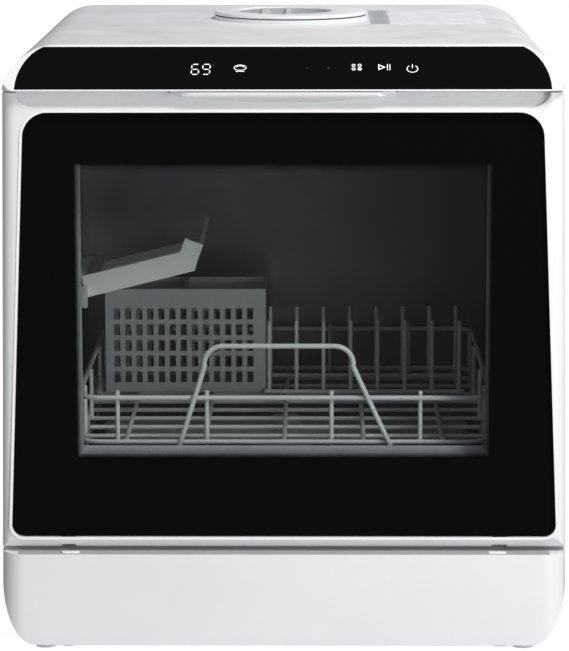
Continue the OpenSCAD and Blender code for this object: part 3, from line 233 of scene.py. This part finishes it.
def circuit_laminate():
    # FR-4 laminate under green solder mask, with copper tracks 1.5 mm apart showing through.
    m, tree, shader, out, place = new_finish("green_solder_mask", Roughness=0.3, IOR=1.55)
    tracks = add(tree, "ShaderNodeTexBrick", {
        "Vector": place, "Scale": 1000 / 6, "Mortar Size": 0.06, "Color1": linear("#0f4a2c"),
        "Color2": linear("#135534"), "Mortar": linear("#2c7a4a"), "Brick Width": 0.9, "Row Height": 0.25,
    })
    tree.links.new(tracks.outputs["Color"], shader.inputs["Base Color"])
    relief(tree, shader, tracks.outputs["Fac"], 0.03)
    return m


def natural_pp():
    # Unpigmented polypropylene: milky, with light glowing a little way into it.
    m, tree, shader, out, place = new_finish(
        "natural_pp_translucent", Roughness=0.4, IOR=1.49, Subsurface_Weight=0.35, Subsurface_Scale=0.004)
    tint(tree, shader, grain(tree, place, 50), "#dfe3e2", "#ebeeec")
    relief(tree, shader, grain(tree, place, 1.0, detail=1.0), 0.015, 0.4)
    return m


def bead_foam():
    # Expanded polystyrene: beads 3 mm across, pressed into flat-sided cells.
    m, tree, shader, out, place = new_finish("white_bead_foam", Roughness=0.85, IOR=1.3)
    beads = add(tree, "ShaderNodeTexVoronoi", {"Vector": place, "Scale": 1000 / 3})
    tint(tree, shader, beads.outputs["Distance"], "#e9e9e4", "#f6f6f2")
    relief(tree, shader, beads.outputs["Distance"], 0.25)
    return m


def lit_print(name, colour, strength):
    # Translucent print with an LED behind it: lit, it glows evenly; unlit, it is a dark grey.
    return new_finish(name, Base_Color=linear(colour), Emission_Color=linear(colour),
                      Emission_Strength=strength, Roughness=0.4)[0]


FINISH = {
    "white_abs": moulded_abs(),
    "white_steel": painted_steel(),
    "grey_plastic": moulded_pp("grey_pp_moulded", "#b1b4b6", "#bec1c3", 0.45),
    "dark_plastic": moulded_pp("dark_pp_moulded", "#26282a", "#303335", 0.5),
    "panel_glass": panel_acrylic(),
    "door_glass": clear_pane("float_glass_outer", "#f2f3f3", "#e8e9e9"),
    "clear_glass": clear_pane("float_glass_inner", "#f8f9f9", "#fafbfb"),
    "tub_steel": brushed_steel(),
    "seal_rubber": rubber("epdm_seal", "#37393b", "#434547"),
    "foot_rubber": rubber("light_grey_tpe", "#cfd1d3", "#d9dadc"),
    "zinc_steel": zinc_plate(),
    "coated_wire": nylon_coat(),
    "circuit_board": circuit_laminate(),
    "tank_plastic": natural_pp(),
    "float_foam": bead_foam(),
}
PAINTED_HIGHLIGHT_TRIM = glossy_abs()
# Painted shade: a grey strip laid over the ledge under the door, darkening it where the gap is in shadow.
PAINTED_SHADE_STRIP = rubber("grey_strip_tpe_painted_shade", "#aaacae", "#b2b4b6")
PRINT = ceramic_print()
LIT = lit_print("backlit_white_print", "#e6e9ec", 0.75)
UNLIT = lit_print("unlit_grey_print", "#2b2d2c", 0.0)

# ---------------------------------------------------------------- mesh helpers

def piece(name, verts, faces, material, body, slot=None, bevel_mm=0.0, segments=2):
    """A mesh piece, given in millimetres, that moves with a CAD body."""
    mesh = bpy.data.meshes.new(name)
    mesh.from_pydata([Vector(v) * MM for v in verts], [], faces)
    work = bmesh.new()
    work.from_mesh(mesh)
    bmesh.ops.recalc_face_normals(work, faces=work.faces)
    work.to_mesh(mesh)
    work.free()
    mesh.materials.append(material)
    mesh.polygons.foreach_set("use_smooth", [True] * len(mesh.polygons))
    mesh.set_sharp_from_angle(angle=SHARP_ANGLE)
    made = bpy.data.objects.new(name, mesh)
    bpy.context.scene.collection.objects.link(made)
    if bevel_mm:
        edge = made.modifiers.new("edge", "BEVEL")
        edge.width, edge.segments, edge.limit_method = bevel_mm * MM, segments, "ANGLE"
        edge.harden_normals = True
    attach(made, body)
    return made


def smooth_group():
    """Geometry nodes that join a CAD mesh's split edges and smooth all but its real corners."""
    group = bpy.data.node_groups.new("join_and_smooth", "GeometryNodeTree")
    group.interface.new_socket("Geometry", in_out="INPUT", socket_type="NodeSocketGeometry")
    group.interface.new_socket("Geometry", in_out="OUTPUT", socket_type="NodeSocketGeometry")
    shape = add(group, "NodeGroupInput").outputs[0]
    plain = add(group, "GeometryNodeRemoveAttribute", {"Geometry": shape, "Name": "custom_normal"})
    joined = add(group, "GeometryNodeMergeByDistance", {
        "Geometry": plain.outputs[0], "Distance": 0.004 * MM})
    faces = add(group, "GeometryNodeSetShadeSmooth", {
        "Geometry": joined.outputs[0], "Shade Smooth": True}, domain="FACE")
    angle = add(group, "GeometryNodeInputMeshEdgeAngle").outputs["Unsigned Angle"]
    soft = add(group, "FunctionNodeCompare", {0: angle, 1: math.radians(24)}, operation="LESS_THAN")
    edges = add(group, "GeometryNodeSetShadeSmooth", {
        "Geometry": faces.outputs[0], "Shade Smooth": soft.outputs[0]}, domain="EDGE")
    add(group, "NodeGroupOutput", {0: edges.outputs[0]})
    return group


SMOOTH = smooth_group()

# ---------------------------------------------------------------- the CAD nodes' finishes

SLOTS = {part["node"]: part["material_slot"] for part in frame["record"]["subparts"]}
for name, node in frame["nodes"].items():
    node.data.materials.clear()
    node.data.materials.append(FINISH[SLOTS[name]])
    tidy = node.modifiers.new("join_and_smooth", "NODES")
    tidy.node_group = SMOOTH

# ---------------------------------------------------------------- outlines

def arc(cx, cy, rx, ry, start_deg, end_deg, steps):
    """Points along an elliptical arc."""
    turns = [math.radians(start_deg + (end_deg - start_deg) * i / steps) for i in range(steps + 1)]
    return [(cx + rx * math.cos(t), cy + ry * math.sin(t)) for t in turns]


def loop(cx, cy, rx, ry, steps=32):
    """A closed ellipse."""
    return arc(cx, cy, rx, ry, 0, 360, steps)[:-1]


def stroke(line, width):
    """The outline of a line drawn with a pen of that width."""
    left, right = [], []
    for i, (x, y) in enumerate(line):
        ahead, behind = line[min(i + 1, len(line) - 1)], line[max(i - 1, 0)]
        way = Vector((ahead[0] - behind[0], ahead[1] - behind[1])).normalized() * width / 2
        left.append((x - way.y, y + way.x))
        right.append((x + way.y, y - way.x))
    return left + right[::-1]


def rounded_box(x0, y0, x1, y1, r, steps=6):
    """A rectangle with round corners."""
    corners = [(x1 - r, y0 + r, -90), (x1 - r, y1 - r, 0), (x0 + r, y1 - r, 90), (x0 + r, y0 + r, 180)]
    return [p for cx, cy, turn in corners for p in arc(cx, cy, r, r, turn, turn + 90, steps)]


def pane_outline(inset, steps=16):
    """The door glass seen from the front: sides that lean in, and four round corners."""
    lean = math.radians(2.45)
    right = []
    for corner_z, r, turn0, turn1 in ((91.0, 9.5, -90, 0), (408.0, 19.0, 0, 90)):
        inner = 1 if corner_z > 200 else -1
        centre_z = corner_z - inner * r
        reach = 201.2 * math.cos(lean) + 120 * math.sin(lean) - r
        centre_x = (reach - centre_z * math.sin(lean)) / math.cos(lean)
        right += arc(centre_x, centre_z, r - inset, r - inset, turn0, turn1, steps)
    return right + [(-x, z) for x, z in reversed(right)]


# ---------------------------------------------------------------- flat pieces

FRONT = Matrix.Rotation(math.radians(90), 4, "X")
ON_SLOPE = Matrix.Translation((0, FRONT_Y, FASCIA_Z)) @ Matrix.Rotation(SLOPE, 4, "X")


def slabs(name, shapes, low, high, place, material, body, **more):
    """Thin plates. Each shape is an outline and its holes, and place turns their plane into the frame's."""
    verts, faces = [], []
    for shape in shapes:
        flat = [p for outline in shape for p in outline]
        cover = tessellate_polygon([[Vector((x, y, 0)) for x, y in outline] for outline in shape])
        base, count = len(verts), len(flat)
        verts += [place @ Vector((x, y, low)) for x, y in flat]
        verts += [place @ Vector((x, y, high)) for x, y in flat]
        faces += [[base + i for i in tri] for tri in cover]
        faces += [[base + count + i for i in reversed(tri)] for tri in cover]
        first = base
        for outline in shape:
            n = len(outline)
            faces += [[first + i, first + (i + 1) % n, first + count + (i + 1) % n, first + count + i]
                      for i in range(n)]
            first += n
    return piece(name, verts, faces, material, body, **more)


def window_print():
    """Black print on the back of the door glass. Round the window it breaks up into dots that
    shrink towards the opening."""
    pitch, rows, layer = 1.05, 6, (GLASS_BACK + 0.1, GLASS_BACK + 0.2)
    opening = [(-WINDOW_HALF, WINDOW_LOW), (WINDOW_HALF, WINDOW_LOW),
               (WINDOW_HALF, WINDOW_HIGH), (-WINDOW_HALF, WINDOW_HIGH)]
    slabs("window_border_print", [[pane_outline(0.6), opening]], *layer, FRONT, PRINT, "door")
    across = round(2 * WINDOW_HALF / pitch)
    up = round((WINDOW_HIGH - WINDOW_LOW) / pitch)
    dots = []
    for i in range(across):
        for k in range(up):
            row = min(i, k, across - 1 - i, up - 1 - k)
            if row >= rows:
                continue
            x = -WINDOW_HALF + (i + 0.5) * 2 * WINDOW_HALF / across
            z = WINDOW_LOW + (k + 0.5) * (WINDOW_HIGH - WINDOW_LOW) / up
            r = pitch * (0.48 - 0.3 * row / (rows - 1))
            dots.append([[(x - r, z - r), (x + r, z - r), (x + r, z + r), (x - r, z + r)]])
    slabs("window_dot_print", dots, *layer, FRONT, PRINT, "door")


def glass_trim():
    """The thin white lip that runs round the door glass, 2 mm wide and rounded over."""
    # Painted highlight: the trim's whiter base colour stands in for the bright line of light round the
    # glass.
    slabs("glass_trim", [[pane_outline(-1.4), pane_outline(0.6)]], GLASS_FACE, GLASS_FACE + 0.7, FRONT,
          PAINTED_HIGHLIGHT_TRIM, "door", slot="white_abs", bevel_mm=0.5, segments=3)


def ledge_pieces():
    """On the kick panel's ledge, under the door: a grey strip that is painted shade for the shadowed gap,
    and two white stop pads.
    """
    level = Matrix.Identity(4)
    # Painted shade: this grey strip covers the ledge so that it reads dark.
    slabs("painted_shade_strip", [[rounded_box(-197.0, -212.4, 197.0, -200.0, 2.0)]], 79.5, 80.0, level,
          PAINTED_SHADE_STRIP, "casing", slot="seal_rubber", bevel_mm=0.2)
    pads = [[rounded_box(x - 6.5, -211.4, x + 6.5, -207.6, 1.2, 4)] for x in (-158.0, 158.0)]
    slabs("stop_pads", pads, 80.0, 81.4, level, PAINTED_HIGHLIGHT_TRIM, "casing", slot="white_abs", bevel_mm=0.3)


def key_icons():
    """Lit digits and key signs, printed on the sloping panel: X across, Y up the slope."""
    pen = 0.55
    segments = {
        "top": ((1.2, 10), (4.8, 10)), "middle": ((1.2, 5), (4.8, 5)), "bottom": ((1.2, 0), (4.8, 0)),
        "upper_left": ((0.4, 9.0), (0.4, 6.0)), "upper_right": ((5.6, 9.0), (5.6, 6.0)),
        "lower_left": ((0.4, 4.0), (0.4, 1.0)), "lower_right": ((5.6, 4.0), (5.6, 1.0)),
    }
    digits = {
        -66.8: ("top", "middle", "bottom", "upper_left", "lower_left", "lower_right"),
        -58.8: ("top", "middle", "bottom", "upper_left", "upper_right", "lower_right"),
    }
    lit = [[stroke([(x + px + 0.06 * py, 16.8 + py) for px, py in segments[s]], 0.75)]
           for x, names in digits.items() for s in names]
    slabs("display_digits", lit, 0.01, 0.04, ON_SLOPE, LIT, "casing")

    degree = [[loop(-50.4, 26.2, 0.9, 0.9, 20), loop(-50.4, 26.2, 0.5, 0.5, 20)]]
    minus = [[stroke([(16.4, 23.0), (19.0, 23.0)], pen)]]
    plus = [[stroke([(31.7, 23.0), (34.3, 23.0)], pen)], [stroke([(33.0, 23.3), (33.0, 24.3)], pen)],
            [stroke([(33.0, 21.7), (33.0, 22.7)], pen)]]
    slabs("unlit_signs", degree + minus + plus, 0.01, 0.04, ON_SLOPE, UNLIT, "casing")

    bowl = [
        [loop(-31, 23.4, 4.6, 2.9), loop(-31, 23.4, 4.05, 2.35)],
        [stroke(arc(-31.0, 23.0, 3.0, 2.2, 20, 160, 12), pen)],
        [stroke([(-34.2, 19.7), (-27.8, 19.7)], pen)],
    ]
    programme = [[loop(x, y, 1.4, 1.4, 20), loop(x, y, 0.85, 0.85, 20)]
                 for x, y in ((51.1, 25.6), (55.5, 25.6), (51.1, 22.0))]
    programme += [[loop(55.5, 22.0, 1.5, 1.5, 20)]]
    start = [
        [[(69.0, 20.8), (74.2, 23.8), (69.0, 26.8)], [(69.7, 22.0), (72.8, 23.8), (69.7, 25.6)]],
        [stroke([(75.6, 20.8), (75.6, 26.8)], pen)],
        [stroke([(77.4, 20.8), (77.4, 26.8)], pen)],
    ]
    power = [
        [stroke(arc(93.6, 22.2, 3.9, 3.5, 125, 415, 30), pen)],
        [stroke([(93.6, 22.8), (93.6, 26.6)], pen)],
    ]
    slabs("key_signs", bowl + programme + start + power, 0.01, 0.04, ON_SLOPE, LIT, "casing")


window_print()
glass_trim()
ledge_pieces()
key_icons()

# ---------------------------------------------------------------- round pieces

def turned(name, rings, material, body, steps=96, **more):
    """A closed shape through circles that lie flat. Each ring is x, y, z and radius, from the
    underside round to the top; the first and last ring are closed by a disc."""
    verts, faces = [], []
    for x, y, z, r in rings:
        verts += [(px, py, z) for px, py in loop(x, y, r, r, steps)]
    for k in range(len(rings) - 1):
        a, b = k * steps, (k + 1) * steps
        faces += [[a + i, a + (i + 1) % steps, b + (i + 1) % steps, b + i] for i in range(steps)]
    faces += [list(range(steps))[::-1], [len(verts) - steps + i for i in range(steps)]]
    return piece(name, verts, faces, material, body, **more)


def fillet(x, y, z, r, size, start_deg, end_deg, steps=5):
    """Rings that round an edge: the curve's centre is at radius r and height z."""
    return [(x, y, z + size * math.sin(math.radians(t)), r + size * math.cos(math.radians(t)))
            for t in [start_deg + (end_deg - start_deg) * i / steps for i in range(steps + 1)]]


def filler_cap():
    """The screw cap of the water filler: a flat ring round a dished finger recess with two grips. The dish
    is lined in grey as painted shade for the recess, and a dark seal, partly a painted shadow line, shows
    under the ring."""
    x0, y, dish_r, floor_z = 3.5, 70.0, 38.0, 445.0
    dish_x = x0 - 5.0

    def dish(skin):
        """The dish from its rim down to its middle, skin millimetres in from the cap."""
        return ([(dish_x, y, 459.0, dish_r - skin), (dish_x, y, 452.0, dish_r - 0.9 - skin)]
                + fillet(dish_x, y, 449.0, dish_r - 5.0, 4.0 - skin, 0, -90, 8)
                + [(dish_x, y, floor_z + skin, 18.0), (dish_x, y, floor_z + skin, 6.0)])

    rings = [(x0, y, 443.0, 44.0), (x0, y, floor_z, 46.0), (x0, y, 457.4, 46.0), (x0, y, 457.5, 60.4)]
    rings += fillet(x0, y, 458.0, 60.9, 0.5, -90, 0) + fillet(x0, y, 459.3, 60.5, 0.9, 0, 90)
    rings += fillet(dish_x, y, 459.3, dish_r + 0.9, 0.9, 90, 180) + dish(0.0)
    cap = turned("filler_cap_turned", rings, FINISH["white_abs"], "filler_cap", slot="white_abs")
    # Painted shade: a thin grey sheet over the white dish, darkening the recess.
    turned("filler_cap_painted_shade_lining", dish(0.05)[::-1] + dish(0.4), FINISH["grey_plastic"], "filler_cap",
           slot="grey_plastic")
    grips = []
    for x, wide in ((x0 - 20.6, 5.8), (x0 - 2.0, 4.0)):
        reach = math.sqrt(dish_r ** 2 - (abs(x - dish_x) + wide / 2) ** 2)
        grips.append([rounded_box(x - wide / 2, y - reach, x + wide / 2, y + reach, 0.8, 3)])
    level = Matrix.Identity(4)
    slabs("filler_cap_grips", grips, 444.6, 459.9, level, PAINTED_HIGHLIGHT_TRIM, "filler_cap", slot="white_abs",
          bevel_mm=0.7, segments=3)
    # A dark rubber seal under the rim, partly real and partly a painted shadow line that darkens the gap.
    slabs("filler_cap_seal_and_shadow_line", [[loop(x0, y, 60.8, 60.8, 96), loop(x0, y, 54.0, 54.0, 96)]], 456.7, 457.45,
          level, FINISH["seal_rubber"], "filler_cap", slot="seal_rubber")
    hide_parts("filler_cap")


def screw_heads():
    """Eight pan-head screws with cross recesses, in the back panel."""
    low, cross, shanks = [], [], []
    for x in (-185, -60, 60, 185):
        for z in (72, 420):
            arm, half = 1.9, 0.45
            star = [(half, arm), (half, half), (arm, half), (arm, -half), (half, -half), (half, -arm),
                    (-half, -arm), (-half, -half), (-arm, -half), (-arm, half), (-half, half), (-half, arm)]
            low.append([loop(x, z, 3.5, 3.5)])
            cross.append([loop(x, z, 3.5, 3.5), [(x + a, z + b) for a, b in star]])
            shanks.append([loop(x, z, 2.0, 2.0)])
    zinc = FINISH["zinc_steel"]
    heads = slabs("screw_heads", cross, -214.6, -213.6, FRONT, zinc, "casing", bevel_mm=0.35,
                  slot="zinc_steel")
    slabs("screw_head_seats", low, -213.6, -213.0, FRONT, zinc, "casing", slot="zinc_steel")
    slabs("screw_shanks", shanks, -213.0, -205.0, FRONT, zinc, "casing", slot="zinc_steel")
    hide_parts("casing_screws")


def inlet_thread():
    """The pipe thread round the water inlet: nine turns, 1.8 mm apart."""
    x0, z0, root, crest, pitch, start, turns, steps = -150.0, 85.0, 12.9, 13.45, 1.814, 193.5, 9, 40
    verts, faces = [], []
    for i in range(turns * steps + 1):
        t = 2 * math.pi * i / steps
        y = start + pitch * i / steps
        for r, dy in ((root, -0.8), (crest, 0.0), (root, 0.8)):
            verts.append((x0 + r * math.cos(t), y + dy, z0 + r * math.sin(t)))
    for i in range(turns * steps):
        a, b = 3 * i, 3 * i + 3
        faces += [[a + k, b + k, b + (k + 1) % 3, a + (k + 1) % 3] for k in range(3)]
    end = len(verts) - 3
    faces += [[0, 1, 2], [end + 2, end + 1, end]]
    piece("inlet_thread", verts, faces, FINISH["grey_plastic"], "casing", slot="grey_plastic")


filler_cap()
screw_heads()
inlet_thread()

# ---------------------------------------------------------------- stage, light and camera

def camera():
    """A long lens, a little above the machine and almost square to it."""
    data = bpy.data.cameras.new("camera")
    data.sensor_width = 36.0
    data.lens = 163.3
    made = bpy.data.objects.new("camera", data)
    bpy.context.scene.collection.objects.link(made)
    aim = (Matrix.Rotation(math.radians(0.621), 4, "Z") @ Matrix.Rotation(math.radians(90 - 10.396), 4, "X")
           @ Matrix.Rotation(math.radians(-0.108), 4, "Z"))
    made.matrix_world = Matrix.Translation((0.0239, -2.3321, 0.6409)) @ aim
    bpy.context.scene.camera = made


def lamp(name, at, aim, size, power):
    """A round, white, soft lamp."""
    data = bpy.data.lights.new(name, "AREA")
    data.shape, data.size, data.energy = "DISK", size, power
    made = bpy.data.objects.new(name, data)
    bpy.context.scene.collection.objects.link(made)
    made.location = at
    made.rotation_euler = (Vector(aim) - Vector(at)).to_track_quat("-Z", "Y").to_euler()


def studio():
    """A pale floor that runs to the horizon, an even white sky and three soft lamps. Mirror-like
    faces, and rays that have gone through glass, meet a dim room in place of the sky and the floor,
    as behind black studio flags."""
    world = bpy.data.worlds.new("studio")
    world.use_nodes = True
    tree = world.node_tree
    tree.nodes.clear()
    ray = add(tree, "ShaderNodeLightPath")
    sky = add(tree, "ShaderNodeBackground", {"Color": linear("#ffffff"), "Strength": 0.35})
    room = add(tree, "ShaderNodeBackground", {"Color": linear("#ffffff"), "Strength": 0.05})
    backdrop = add(tree, "ShaderNodeBackground", {"Color": linear("#ffffff"), "Strength": 1.0})
    flagged = add(tree, "ShaderNodeMath", {
        0: ray.outputs["Is Glossy Ray"], 1: ray.outputs["Is Transmission Ray"]}, operation="MAXIMUM")
    mirrored = add(tree, "ShaderNodeMixShader", {
        0: flagged.outputs[0], 1: sky.outputs[0], 2: room.outputs[0]})
    seen = add(tree, "ShaderNodeMixShader", {
        0: ray.outputs["Is Camera Ray"], 1: mirrored.outputs[0], 2: backdrop.outputs[0]})
    add(tree, "ShaderNodeOutputWorld", {"Surface": seen.outputs[0]})
    bpy.context.scene.world = world
    mesh = bpy.data.meshes.new("floor")
    mesh.from_pydata([(-9, -9, 0), (9, -9, 0), (9, 9, 0), (-9, 9, 0)], [], [(0, 1, 2, 3)])
    # Matt white paper that glows a little, so that only a faint shadow is left on it.
    paper, tree, shader, out, place = new_finish(
        "studio_floor", Base_Color=linear("#bcbcbc"), Roughness=1.0, Emission_Strength=0.85,
        Emission_Color=linear("#ffffff"))
    mesh.materials.append(paper)
    floor = bpy.data.objects.new("floor", mesh)
    floor.visible_glossy = False
    floor.visible_transmission = False
    floor.visible_diffuse = False
    bpy.context.scene.collection.objects.link(floor)
    lamp("key", (0.9, -1.35, 2.1), (0, -0.2, 0.35), 0.6, 34)
    lamp("fill", (1.3, -2.4, 0.25), (0, -0.2, 0.25), 0.8, 29)
    lamp("back", (0.7, 0.9, 1.5), (0, 0, 0.45), 0.8, 11)


camera()
studio()
bpy.context.scene.view_settings.view_transform = "Standard"
